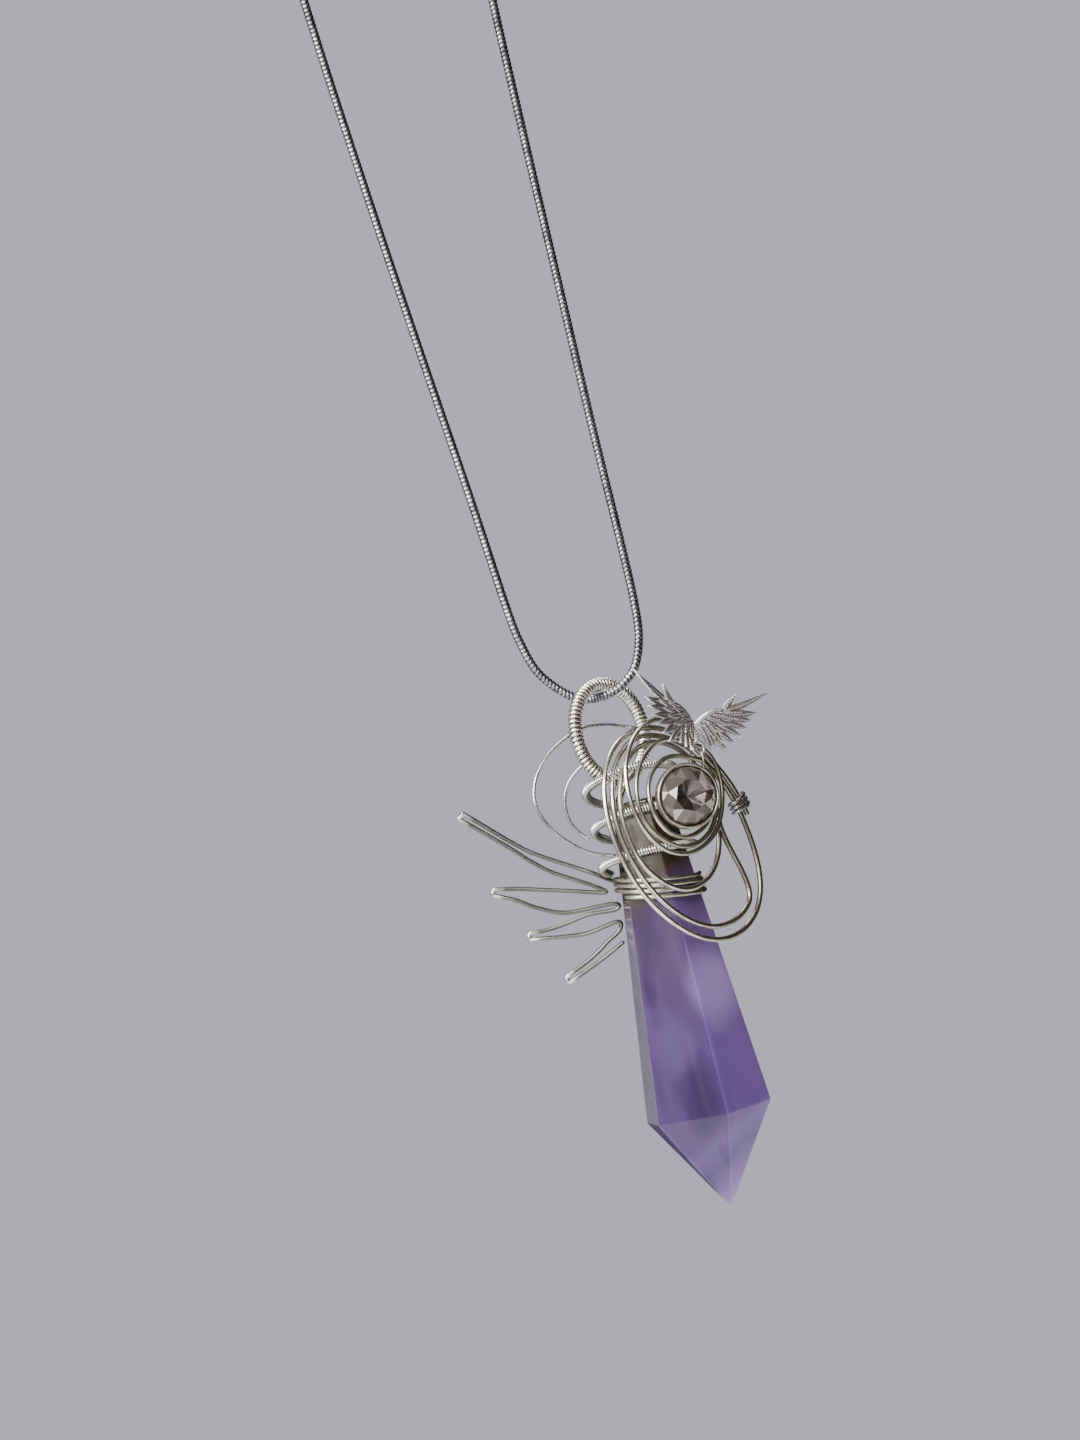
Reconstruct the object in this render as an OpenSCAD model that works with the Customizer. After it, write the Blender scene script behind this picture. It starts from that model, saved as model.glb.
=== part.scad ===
// Wire wrapped crystal point on a snake chain, shown hanging from a peg.
// Millimetres, +Z up, the front faces -Y. The origin is the underside of the chain where the peg carries it.

/* [Chain] */
// Drop from the peg to the middle of the chain at the pendant
chain_drop = 221; // [219:1:223]
// Thickness of the snake chain
chain_d = 1.2; // [1:0.1:1.4]
// Length of the barrel clasp
clasp_len = 9; // [7:0.5:10]
// Thickness of the barrel clasp
clasp_d = 3.2; // [2.8:0.1:4]

/* [Pendant] */
// Turn of the pendant about the vertical, away from facing front
pendant_yaw = 41; // [38:1:44]
// Thickness of the plain wire of the front loops
wire_d = 0.7; // [0.5:0.05:0.7]
// Thickness of the fine wire of the side hoops
fine_d = 0.45; // [0.3:0.05:0.5]

/* [Crystal] */
// Length of the crystal point
crystal_len = 54.5; // [50:0.5:55]
// Radius at the girdle, over the corners
crystal_r = 8.4; // [8:0.1:8.6]
// Radius at the shoulder, over the corners
crystal_top_r = 3.8; // [3.5:0.1:3.9]
// Height of the girdle over the tip
girdle_h = 13; // [10:0.5:15]
// Lean of the crystal, its tip towards the back, in degrees
crystal_lean = 4.4; // [4:0.1:4.8]

/* [Bail] */
// Radius of the bail ring, to the middle of its coil
bail_r = 6.4; // [6.2:0.1:6.6]
// Thickness of the coil wound ring
bail_d = 1.9; // [1.7:0.1:2]
// Turn of the ring about the vertical, further than the pendant's
bail_turn = 6; // [3:1:9]

/* [Rhinestone] */
// Width of the round stone
stone_d = 7.6; // [7:0.1:7.8]
// Turn of the stone towards the front, from the plane of the loops
stone_turn = 21; // [15:1:25]

/* [Wings] */
// Length of the longest feather of a wing
feather_len = 8; // [7:0.2:8.4]
// Number of long feathers in a wing
feather_count = 7; // [5:1:8]

/* [Hidden] */

// Clearance between pieces that rest on each other
gap = 0.2;
silver = "silver";
bright = "gainsboro";

// Route of the chain, from the clasp down the right strand, through the bail, up and over the peg.
// Each row is x, y and the height over the lowest point of the chain.
chain_route = [
    [10.0, 0, 194.2], [11.5, 0, 178], [12.5, 0, 156], [12.7, 0, 134], [12.0, 0, 112], [10.8, 0, 92],
    [9.9, 0, 72], [9.1, 0, 52], [8.4, 0, 34], [8.0, 0, 20], [7.6, -0.5, 11], [6.9, -1.2, 6],
    [5.3, -1.8, 2.4], [3.1, -1.9, 0.7], [1.3, -1.2, 0.1], [0, 0, 0], [-1.3, 1.2, 0.1], [-3.1, 1.9, 0.8],
    [-5.1, 1.8, 2.6], [-7.0, 1.2, 5.4], [-8.0, 0.6, 9], [-8.6, 0, 14], [-9.4, 0, 30], [-10.6, 0, 50],
    [-11.7, 0, 70], [-12.7, 0, 92], [-13.3, 0, 114], [-13.4, 0, 136], [-12.8, 0, 160], [-11.2, 0, 184],
    [-8.9, 0, 202], [-6.6, 0, 213.5], [-3.8, 0, 219.6], [0, 0, 221.6], [3.8, 0, 219.4], [6.4, 0, 213],
    [7.8, 0, 206.5], [9.0, 0, 200.3]];
chain_rings = 78;
chain_sides = 8;

// Middle, radii and lean of each turn of the front loops, seen from the front: x, z, across, down, lean
outer_turns = [
    [0, -19.9, 11.1, 15.2, 25],
    [0.1, -19.5, 9.9, 13.8, 25],
    [-1.4, -17.2, 8.1, 9.8, 8],
    [-1.5, -17.2, 7.8, 9.8, 8]];
inner_turns = [
    [-0.4, -13.6, 8.0, 8.9, 0],
    [-0.3, -14.6, 6.8, 7.0, 0],
    [0.2, -15.1, 5.4, 5.3, 0],
    [0.2, -15.1, 5.4, 5.3, 0]];
// Distance of the two layers of loops in front of the bail
outer_depth = 8.6;
inner_depth = 9.75;

// The hairpins of the feather fan, as x and z: upper leg from its root, tip, and lower leg back to its root
hairpins = [
    [[-6.8, -22.0], [-8.9, -20.6], [-13.4, -17.6], [-15.9, -15.4], [-21.7, -10.0],
     [-16.5, -15.9], [-14.5, -18.1], [-12.0, -20.4], [-7.6, -23.3]],
    [[-6.4, -24.7], [-10.5, -23.3], [-13.6, -22.3], [-16.7, -21.3], [-20.2, -20.8],
     [-17.6, -22.6], [-15.0, -24.4], [-11.6, -25.9], [-6.4, -26.4]],
    [[-6.3, -27.3], [-9.0, -26.9], [-11.6, -27.2], [-14.4, -27.4], [-17.2, -27.6],
     [-15.0, -28.4], [-12.4, -28.9], [-9.5, -29.2], [-6.3, -28.9]],
    [[-6.2, -30.2], [-7.6, -31.0], [-8.9, -31.8], [-10.9, -32.8], [-13.9, -34.4],
     [-11.3, -33.9], [-9.4, -33.2], [-7.9, -32.7], [-6.4, -32.2]]];

// Vector helpers
function unit(v) = v / norm(v);
function tangent(p, i) = unit(p[min(i + 1, len(p) - 1)] - p[max(i - 1, 0)]);
function carried(v, t) = unit(v - (v * t) * t);
function frames(p) = [
    for (i = 0, f = carried(abs(tangent(p, 0)[2]) < 0.9 ? [0, 0, 1] : [1, 0, 0], tangent(p, 0));
         i < len(p);
         i = i + 1, f = i < len(p) ? carried(f, tangent(p, i)) : f) f];

// A smooth curve through points, and the same curve cut into equal numbers of steps
function curve_at(p, s) =
    let (i = min(floor(s), len(p) - 2), t = s - i,
         a = p[max(i - 1, 0)], b = p[i], c = p[i + 1], d = p[min(i + 2, len(p) - 1)])
    0.5 * (2 * b + (c - a) * t + (2 * a - 5 * b + 4 * c - d) * t * t + (3 * b - a - 3 * c + d) * t * t * t);
function smooth(p, n) = [for (k = [0 : n]) curve_at(p, k * (len(p) - 1) / n)];

// Radii of a wire whose two ends are rounded off
function wire_radii(n, r) = [for (i = [0 : n - 1]) (i == 0 || i == n - 1) ? r * 0.6 : r];

// A round tube along a path, closed at both ends
module tube(path, radii, sides) {
    f = frames(path);
    n = len(path);
    rings = [for (i = [0 : n - 1], k = [0 : sides - 1])
        let (a = 360 * k / sides)
        path[i] + radii[i] * (cos(a) * f[i] + sin(a) * cross(tangent(path, i), f[i]))];
    walls = [for (i = [0 : n - 2], k = [0 : sides - 1])
        let (a = i * sides + k, b = i * sides + (k + 1) % sides)
        each [[a, a + sides, b], [b, a + sides, b + sides]]];
    start = [for (k = [1 : sides - 2]) [0, k, k + 1]];
    last = (n - 1) * sides;
    end = [for (k = [1 : sides - 2]) [last, last + k + 1, last + k]];
    polyhedron(rings, concat(walls, start, end));
}

module wire(path, d, sides = 6) { tube(path, wire_radii(len(path), d / 2), sides); }

// Places the pendant: its own x runs across its front loops, and its own front faces -y
module hung() { translate([0, 0, -chain_drop]) rotate([0, 0, pendant_yaw]) children(); }

// Places a piece on the leaning axis of the crystal, with the crystal's tip at its origin
tip_at = [0.15, 2.1, -68.6];
module on_crystal() { translate(tip_at) rotate([crystal_lean, 0, 0]) children(); }
function crystal_height(z) = (z - tip_at[2]) / cos(crystal_lean);
function crystal_radius(h) =
    crystal_r + (crystal_top_r - crystal_r) * (h - girdle_h) / (crystal_len - girdle_h);

// Snake chain, one open loop whose two ends enter the clasp
function at_peg(p) = [p[0], p[1], p[2] - chain_drop];
module chain() {
    route = smooth([for (p = chain_route) at_peg(p)], chain_rings - 1);
    color(silver) tube(route, [for (p = route) chain_d / 2], chain_sides);
}

// Barrel clasp with a plain blind hole for each end of the chain
clasp_ends = [at_peg(chain_route[0]), at_peg(chain_route[len(chain_route) - 1])];
module clasp() {
    axis = clasp_ends[1] - clasp_ends[0];
    hole_r = chain_d / 2 + gap;
    hole_depth = (clasp_len - norm(axis)) / 2 + 2 * gap;
    collar = 1.2;
    half = clasp_len / 2;
    r = clasp_d / 2;
    // One end of the barrel's outline, from the bottom of its hole to the middle of its side
    end = [[0, half - hole_depth], [hole_r, half - hole_depth], [hole_r, half], [r - 0.5, half],
           [r - 0.3, half - collar], [r, half - collar - 0.3]];
    color(silver)
    translate((clasp_ends[0] + clasp_ends[1]) / 2)
    rotate([0, atan2(axis[0], axis[2]), 0])
    rotate_extrude($fn = 32) polygon(concat(end,
        [for (i = [len(end) - 1 : -1 : 0]) [end[i][0], -end[i][1]]]));
}

// Bail: a ring of coil wound wire whose bare core wires run down the back of the crystal
bail_middle = -(bail_r - bail_d / 2 - chain_d / 2 - gap / 2);
core_d = 0.9;
module on_bail() { translate([0, 0, -chain_drop]) rotate([0, 0, pendant_yaw + bail_turn]) children(); }
module bail() {
    mouth = 24;
    ring = [for (a = [-90 + mouth : 9 : 270 - mouth])
        [bail_r * cos(a), 0, bail_middle + bail_r * sin(a)]];
    right_tail = [[0.5, 4.0, -25], [0.5, 3.45, -20], [0.5, 2.9, -15.5], [0.55, 1.6, -13.2],
                  [0.9, 0.3, -11.6]];
    left_tail = [for (i = [len(right_tail) - 1 : -1 : 0]) let (p = right_tail[i]) [-p[0], p[1], p[2]]];
    bare = [for (p = right_tail) core_d / 2];
    color(silver) on_bail() tube(concat(right_tail, ring, left_tail),
        concat(bare, [for (p = ring) bail_d / 2], bare), 10);
}

// Crystal point: an uneven six sided prism, widest near its tip. Directions of the corners, from +x.
crystal_corners = [4, 79, 131, 173, 243, 303];
module crystal() {
    levels = [[girdle_h, crystal_r], [crystal_len - 1.6, crystal_radius(crystal_len - 1.6)],
              [crystal_len, crystal_top_r * 0.66]];
    n = len(crystal_corners);
    points = concat([[0, 0, 0]],
        [for (l = levels, a = crystal_corners) [l[1] * cos(a), l[1] * sin(a), l[0]]]);
    point_faces = [for (k = [0 : n - 1]) [0, 1 + k, 1 + (k + 1) % n]];
    side_faces = [for (i = [0 : len(levels) - 2], k = [0 : n - 1])
        let (a = 1 + i * n + k, b = 1 + i * n + (k + 1) % n)
        each [[a, a + n, b], [b, a + n, b + n]]];
    top = 1 + (len(levels) - 1) * n;
    top_face = [for (k = [1 : n - 2]) [top, top + k + 1, top + k]];
    color("mediumpurple") hung() on_crystal() polyhedron(points, concat(point_faces, side_faces, top_face));
}

// The windings round the neck slant: this is how far they drop for each mm that they go to the right
slant = 0.17;
left = 180 - pendant_yaw;
function wound(r, dir, z) =
    [r * cos(dir), r * sin(dir), crystal_height(z) - slant * r * (1 - cos(dir - left))];

// The windings also bulge at the back, over the core wires of the bail: one there, nought elsewhere
function over_core(dir) = pow(max(0, cos(dir - 90 - bail_turn)), 10);

// Coil wound wire, three loose turns round the neck of the crystal that bulge to the left
coil_d = 1.2;
module neck_coil() {
    first_z = -9.4;
    pitch = 5;
    turns = 2.6;
    first_r = 5.1;
    growth = 0.23;
    bulge = 1.6;
    over_bail = 0.9;
    // Share of the pitch by which the coil lags behind an even one, so that it drops on its left side
    lag = 0.42;
    lag_loss = 0.08;
    path = [for (a = [0 : 15 : turns * 360])
        let (dir = left - 180 - a, aside = pow(max(0, cos(dir - left)), 2),
             r = first_r + growth * a / 360 * (1 - aside) + bulge * aside + over_bail * over_core(dir))
        wound(r, dir, first_z - pitch * (a / 360 - (lag - lag_loss * a / 360) * sin(a)))];
    color(bright) hung() on_crystal() wire(path, coil_d, 8);
}

// Plain binding wire, close turns under the coil
wrap_d = 0.55;
module neck_wraps() {
    first_z = -23.3;
    pitch = 0.72;
    turns = 3.4;
    over_bail = 1.1;
    path = [for (a = [0 : 20 : turns * 360])
        let (dir = left - 180 - a, z = first_z - pitch * a / 360,
             r = crystal_radius(wound(crystal_top_r, dir, z)[2] - slant) + wrap_d / 2 + gap
                 + over_bail * over_core(dir))
        wound(r, dir, z)];
    color(silver) hung() on_crystal() wire(path, wrap_d);
}

// A flat spiral of nested egg shaped turns: each turn keeps its own shape and moves on to the next one's
// over its last part. The angle runs from the first turn's start, counter-clockwise seen from the front.
move_on = 60;
function turn_shape(turns, a) =
    let (k = min(floor(a / 360), len(turns) - 2), rest = a - 360 * k,
         t = max(0, (rest - 360 + move_on) / move_on))
    turns[k] + (turns[k + 1] - turns[k]) * t * t * (3 - 2 * t);
function spiral_point(turns, start, a, y) =
    let (s = turn_shape(turns, a), x = s[2] * cos(start + a), z = s[3] * sin(start + a))
    [s[0] + x * cos(s[4]) - z * sin(s[4]), y, s[1] + x * sin(s[4]) + z * cos(s[4])];
function spiral(turns, start, sweep, step, depth) =
    [for (a = [0 : step : sweep]) spiral_point(turns, start, a, -depth)];

outer_start = -18;
module outer_loops() {
    color(bright) hung() wire(spiral(outer_turns, outer_start, 1068, 12, outer_depth), wire_d);
}

// Fine wire wound square round the start of the outer wire and the next turn beside it
module loop_tie() {
    from = 1.5;
    to = 9;
    turns = 3;
    room = (wire_d + fine_d) / 2 + 1.3 * gap;
    path = [for (k = [0 : 20 : turns * 360])
        let (a = from + (to - from) * k / (turns * 360),
             p = spiral_point(outer_turns, outer_start, a, -outer_depth),
             q = spiral_point(outer_turns, outer_start, a + 360, -outer_depth),
             along = unit(spiral_point(outer_turns, outer_start, a + 1, -outer_depth) - p),
             across = cross([0, 1, 0], along),
             reach = (p - q) * across / 2 * max(-1, min(1, 1.6 * cos(k))) + room * cos(k))
        (p + q) / 2 + reach * across + [0, room * sin(k), 0]];
    color(silver) hung() wire(path, fine_d);
}

module inner_loops() {
    color(bright) hung() wire(spiral(inner_turns, 64, 1035, 15, inner_depth), wire_d * 0.9);
}

// Fine wire hoops at the left, behind the bail
module hoop_outer() {
    path = smooth([[3.3, 5.9, -5.1], [0.4, 4.5, -3.9], [-2.9, 3.0, -3.3], [-6.0, 2.0, -4.1],
        [-9.0, 1.2, -5.8], [-11.1, 0.7, -8.4], [-11.8, 0.4, -11.4], [-10.8, 0.4, -14.6],
        [-8.6, 0.5, -17.5], [-6.2, 0.6, -19.4], [-3.7, 0.8, -20.3]], 26);
    color(silver) translate([0, 0, -chain_drop]) wire(path, fine_d);
}

module hoop_inner() {
    path = smooth([[-3.9, -2.4, -7.7], [-5.6, -1.9, -8.5], [-7.2, -1.4, -10.0], [-8.1, -1.1, -12.2],
        [-8.1, -1.0, -14.4], [-7.3, -1.0, -16.2], [-6.4, -1.1, -17.3]], 16);
    color(silver) translate([0, 0, -chain_drop]) wire(path, fine_d);
}

// Feather fan: one wire bent into four hairpins that leave the neck to the left. Each turns round at its
// tip in a half circle, and its two legs lie a little before and behind each other.
fan_d = 0.6;
fan_y = 1.2;
leg_split = 0.2;
bend_r = 0.42;
function bend(before, tip, after) =
    let (out = unit(tip - (before + after) / 2), side = before - after,
         up = unit(side - (side * out) * out))
    [for (a = [90 : -45 : -90]) tip + bend_r * ((cos(a) - 1) * out + sin(a) * up)];
module feather_fan() {
    tucked = [[1.0, 5.9, -25.2], [-2.6, 5.0, -24.5], [-5.2, 3.0, -23.3]];
    middle = (len(hairpins[0]) - 1) / 2;
    legs = [for (h = hairpins, i = [0 : len(h) - 1])
        each [for (p = i == middle ? bend(h[i - 1], h[i], h[i + 1]) : [h[i]])
            [p[0], fan_y + leg_split * sign(middle - i), p[1]]]];
    color(silver) translate([0, 0, -chain_drop]) wire(smooth(concat(tucked, legs), 150), fan_d);
}

// Cup and stone, in their own frame: the front faces -y and the middle of the stone's girdle is the origin
stone_at = [0.1, -11.2, -15.3];
cup_d = stone_d + 1.0;
crown_h = 1.3;
pavilion_h = 1.6;
module at_stone() {
    hung() translate(stone_at) rotate([0, 0, -stone_turn]) rotate([90, 0, 0]) children();
}

module stone_cup() {
    wall = 0.35;
    seat = stone_d / 2 + gap / 2;
    r = cup_d / 2;
    floor_z = -pavilion_h - gap;
    rim_z = 0.45;
    color(silver) at_stone() rotate_extrude($fn = 48) polygon([
        [0, floor_z - wall], [r - 0.8, floor_z - wall], [r, -0.7], [r, rim_z], [seat, rim_z],
        [seat, -0.5], [r - 1.2, floor_z], [0, floor_z]]);
}

// Round cut: eight sided table, sixteen sided girdle, eight sided pavilion
module stone() {
    thin = 0.02;
    girdle = 0.24;
    color("lavenderblush") at_stone() hull() {
        translate([0, 0, crown_h - thin]) rotate([0, 0, 22.5])
            cylinder(d = stone_d * 0.56, h = thin, $fn = 8);
        translate([0, 0, crown_h * 0.5]) cylinder(d = stone_d * 0.83, h = thin, $fn = 8);
        translate([0, 0, -girdle / 2]) rotate([0, 0, 11.25]) cylinder(d = stone_d, h = girdle, $fn = 16);
        translate([0, 0, -pavilion_h]) cylinder(d = 0.3, h = thin, $fn = 8);
    }
}

// Wing charm: two cast wings of overlapping feathers, swept forward, over a small eye
charm_at = [4.2, -11.0, -7.2];
// Sweep towards the front and rise of the tip of each wing
right_wing = [20, 2];
left_wing = [8, 41];
// How far the short feathers under the root fan out on each wing
right_spread = 16;
left_spread = 46;
eye_r = 0.9;
eye_wire_r = 0.22;
eye_drop = 1.6;
module feather(l, w, t) {
    hull() {
        scale([w * 0.6, w * 0.5, t]) sphere(d = 1, $fn = 6);
        translate([l * 0.62, 0, 0]) scale([w * 1.2, w, t * 0.9]) sphere(d = 1, $fn = 6);
        translate([l, w * 0.12, 0]) scale([w * 0.3, w * 0.2, t * 0.6]) sphere(d = 1, $fn = 5);
    }
}

module wing(root_spread) {
    wrist = [3.2, 1.1, 0.1];
    // The tip feather, the small one over it, and the fan of long feathers along the arm
    translate([4.4, 0.8, 0]) rotate([0, 0, 8]) feather(feather_len, 1.1, 0.7);
    translate([4.6, 1.0, 0.1]) rotate([0, 0, 32]) feather(feather_len * 0.36, 0.9, 0.7);
    for (k = [0 : feather_count - 2]) {
        f = k / (feather_count - 2);
        translate([4.8 - 3.4 * f, 0.5 - 0.4 * f, 0.1 * f])
        rotate([0, 0, -16 - 48 * f]) feather(feather_len * 0.57, 1.5, 0.8);
    }
    for (k = [0 : 3]) {
        f = k / 3;
        translate([4.6 - 3.2 * f, 0.7 - 0.4 * f, 0.35])
        rotate([0, 0, -14 - 44 * f]) feather(feather_len * 0.32, 1.3, 0.8);
    }
    for (k = [0 : 3]) {
        f = k / 3;
        translate([2.4 - 1.3 * f, 0.3 - 0.2 * f, 0.1])
        rotate([0, 0, -66 - root_spread * f]) feather(feather_len * 0.42, 1.3, 0.8);
    }
    hull() {
        sphere(d = 1.3, $fn = 10);
        translate(wrist) sphere(d = 1.2, $fn = 10);
    }
    hull() {
        translate(wrist) sphere(d = 1.2, $fn = 10);
        translate([5.2, 0.9, 0.1]) sphere(d = 0.9, $fn = 10);
    }
}

// The body between the wings, with the eye under it
module charm_eye() {
    hull() {
        sphere(d = 1.3, $fn = 10);
        translate([0.1, 0, -eye_drop]) sphere(d = 0.9, $fn = 10);
    }
    translate([0.1, 0, -eye_drop - eye_r - eye_wire_r / 2]) rotate([90, 0, 0])
    rotate_extrude($fn = 24) translate([eye_r, 0]) circle(r = eye_wire_r, $fn = 12);
}

module wing_charm() {
    color(silver) hung() translate(charm_at) {
        for (side = [[right_wing, right_spread, 0], [left_wing, left_spread, 1]])
            mirror([side[2], 0, 0]) rotate([0, 0, -side[0][0]]) rotate([90, 0, 0])
            rotate([0, 0, side[0][1]]) wing(side[1]);
        charm_eye();
    }
}

// Jump ring that ties the eye of the charm to the innermost loop: it encloses the two wires
module wing_ring() {
    ring_r = 1.25;
    ring_wire_r = 0.13;
    turn = 5;
    color(silver) hung() translate([4.05, -inner_depth - 0.65, -11.05])
    rotate([0, turn, 0]) rotate([0, 90, 0])
    rotate_extrude($fn = 32) translate([ring_r, 0]) circle(r = ring_wire_r, $fn = 16);
}

chain();
clasp();
bail();
crystal();
neck_coil();
neck_wraps();
outer_loops();
inner_loops();
loop_tie();
hoop_outer();
hoop_inner();
feather_fan();
stone_cup();
stone();
wing_charm();
wing_ring();
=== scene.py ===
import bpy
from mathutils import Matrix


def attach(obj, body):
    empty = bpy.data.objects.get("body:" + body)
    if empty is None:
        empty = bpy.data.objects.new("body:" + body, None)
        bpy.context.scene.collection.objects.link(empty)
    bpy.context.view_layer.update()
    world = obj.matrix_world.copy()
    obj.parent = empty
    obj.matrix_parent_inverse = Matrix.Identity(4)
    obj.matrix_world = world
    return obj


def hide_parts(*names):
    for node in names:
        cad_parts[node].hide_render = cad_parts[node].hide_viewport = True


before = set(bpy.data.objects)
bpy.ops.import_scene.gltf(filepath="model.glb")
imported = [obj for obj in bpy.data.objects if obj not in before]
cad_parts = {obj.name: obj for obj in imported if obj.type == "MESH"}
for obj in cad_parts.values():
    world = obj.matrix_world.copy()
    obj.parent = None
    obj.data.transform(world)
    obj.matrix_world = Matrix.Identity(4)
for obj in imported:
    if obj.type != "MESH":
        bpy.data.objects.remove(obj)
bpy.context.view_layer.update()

import math
from math import radians

import bpy
import numpy as np
from mathutils import Matrix

# Shape values are in millimetres, in the CAD frame. The values named here repeat those of part.scad, but for
# three places: the fan's inner bends lie up to 0.9 nearer to the crystal, as in the photograph, and the fan's
# first tip and the chain's top are drawn in by up to 0.25, so that the fine shapes stay in the solids' box.
MM = 0.001
CHAIN_DROP = 221.0
CHAIN_D = 1.2
CLASP_LEN, CLASP_D = 9.0, 3.2
PENDANT_YAW, BAIL_TURN = 41.0, 6.0
WIRE_D, FINE_D, WRAP_D, FAN_D = 0.7, 0.45, 0.55, 0.6
CRYSTAL_LEN, CRYSTAL_R, CRYSTAL_TOP_R, GIRDLE_H, CRYSTAL_LEAN = 54.5, 8.4, 3.8, 13.0, 4.4
TIP_AT = (0.15, 2.1, -68.6)
BAIL_R, BAIL_D, CORE_D = 6.4, 1.9, 0.9
COIL_D = 1.2
STONE_D, STONE_TURN = 7.6, 21.0
FEATHER_LEN, FEATHER_COUNT = 8.0, 7
GAP = 0.2

# Points along the chain, from the clasp down, through the ring and up again; z is over its lowest point
CHAIN_ROUTE = [
    [10.0, 0, 194.2], [11.5, 0, 178], [12.5, 0, 156], [12.7, 0, 134], [12.0, 0, 112], [10.8, 0, 92],
    [9.9, 0, 72], [9.1, 0, 52], [8.4, 0, 34], [8.0, 0, 20], [7.6, -0.5, 11], [6.9, -1.2, 6],
    [5.3, -1.8, 2.4], [3.1, -1.9, 0.7], [1.3, -1.2, 0.1], [0, 0, 0], [-1.3, 1.2, 0.1], [-3.1, 1.9, 0.8],
    [-5.1, 1.8, 2.6], [-7.0, 1.2, 5.4], [-8.0, 0.6, 9], [-8.6, 0, 14], [-9.4, 0, 30], [-10.6, 0, 50],
    [-11.7, 0, 70], [-12.7, 0, 92], [-13.3, 0, 114], [-13.4, 0, 136], [-12.8, 0, 160], [-11.2, 0, 184],
    [-8.9, 0, 202], [-6.6, 0, 213.5], [-3.8, 0, 219.5], [0, 0, 221.5], [3.8, 0, 219.3], [6.4, 0, 213],
    [7.8, 0, 206.5], [9.0, 0, 200.3]]
# A row for each turn of the front loops: centre x and z, radii along x and z, turn in degrees
OUTER_TURNS = [[0, -19.9, 11.1, 15.2, 25], [0.1, -19.5, 9.9, 13.8, 25],
               [-1.4, -17.2, 8.1, 9.8, 8], [-1.5, -17.2, 7.8, 9.8, 8]]
INNER_TURNS = [[-0.4, -13.6, 8.0, 8.9, 0], [-0.3, -14.6, 6.8, 7.0, 0],
               [0.2, -15.1, 5.4, 5.3, 0], [0.2, -15.1, 5.4, 5.3, 0]]
OUTER_START, OUTER_SWEEP, INNER_START, INNER_SWEEP = -18, 1068, 64, 1035
OUTER_DEPTH, INNER_DEPTH = 8.6, 9.75
# Points x and z along each hairpin of the fan, out to its tip and back
TIP = 4
HAIRPINS = [
    [[-6.8, -22.0], [-8.9, -20.6], [-13.4, -17.6], [-15.9, -15.4], [-21.53, -10.15],
     [-16.5, -15.9], [-14.5, -18.1], [-12.0, -20.4], [-7.6, -23.3]],
    [[-6.1, -24.7], [-10.5, -23.3], [-13.6, -22.3], [-16.7, -21.3], [-20.2, -20.8],
     [-17.6, -22.6], [-15.0, -24.4], [-11.6, -25.9], [-5.5, -26.4]],
    [[-5.4, -27.2], [-9.0, -26.9], [-11.6, -27.2], [-14.4, -27.4], [-17.2, -27.6],
     [-15.0, -28.4], [-12.4, -28.9], [-9.5, -29.2], [-5.6, -28.8]],
    [[-5.6, -29.9], [-7.6, -31.0], [-8.9, -31.8], [-10.9, -32.8], [-13.9, -34.4],
     [-11.3, -33.9], [-9.4, -33.2], [-7.7, -32.5], [-5.7, -31.6]]]
FAN_Y, LEG_SPLIT, BEND_R = 1.2, 0.2, 0.42
STONE_AT = (0.1, -11.2, -15.3)
CHARM_AT = (4.2, -11.0, -7.2)
# Sweep towards the front, rise, and spread of the root feathers of each wing, in degrees
RIGHT_WING, LEFT_WING = (20, 2, 16), (8, 41, 46)
EYE_R, EYE_WIRE_R, EYE_DROP = 0.9, 0.22, 1.6
CRYSTAL_CORNERS = [4, 79, 131, 173, 243, 303]
# Slant of the crystal's growth zones, and of the windings round it
ZONE_SLANT, SLANT = 0.46, 0.17
# Direction of the picture's left in the pendant's own frame, in degrees
LEFT = 180 - PENDANT_YAW


# ---------- camera, at the photograph's viewing angle ----------
def make_camera():
    roll, away, tall = radians(15.5), 900.0, 187.2
    middle_x, middle_z = -8.31, -(CHAIN_DROP + 0.8)
    data = bpy.data.cameras.new("camera")
    data.sensor_width = 36.0
    data.lens = data.sensor_width * away / tall
    data.clip_start, data.clip_end = 0.05, 20.0
    cam = bpy.data.objects.new("camera", data)
    bpy.context.scene.collection.objects.link(cam)
    right, up = (math.cos(roll), 0, -math.sin(roll)), (math.sin(roll), 0, math.cos(roll))
    cam.matrix_world = Matrix(((right[0], up[0], 0, middle_x * MM), (0, 0, -1, -away * MM),
                               (right[2], up[2], 0, middle_z * MM), (0, 0, 0, 1)))
    bpy.context.scene.camera = cam


make_camera()


# ---------- shape helpers ----------
def unit(v):
    return v / np.linalg.norm(v, axis=-1, keepdims=True)


def curve(points, s):
    """Points of the smooth curve through the given points, at the parameters s (0 to len - 1)."""
    p = np.asarray(points, float)
    s = np.asarray(s, float)
    i = np.minimum(np.floor(s).astype(int), len(p) - 2)
    t = (s - i)[:, None]
    a, b, c, d = p[np.maximum(i - 1, 0)], p[i], p[i + 1], p[np.minimum(i + 2, len(p) - 1)]
    return 0.5 * (2 * b + (c - a) * t + (2 * a - 5 * b + 4 * c - d) * t ** 2
                  + (3 * b - a - 3 * c + d) * t ** 3)


def resample(path, count):
    """The same path cut into steps of equal length."""
    along = np.concatenate([[0], np.cumsum(np.linalg.norm(np.diff(path, axis=0), axis=1))])
    even = np.linspace(0, along[-1], count)
    return np.stack([np.interp(even, along, path[:, k]) for k in range(3)], 1)


def length_of(path):
    return float(np.linalg.norm(np.diff(path, axis=0), axis=1).sum())


def smooth(points, count):
    return resample(curve(points, np.linspace(0, len(points) - 1, count * 4)), count)


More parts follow.
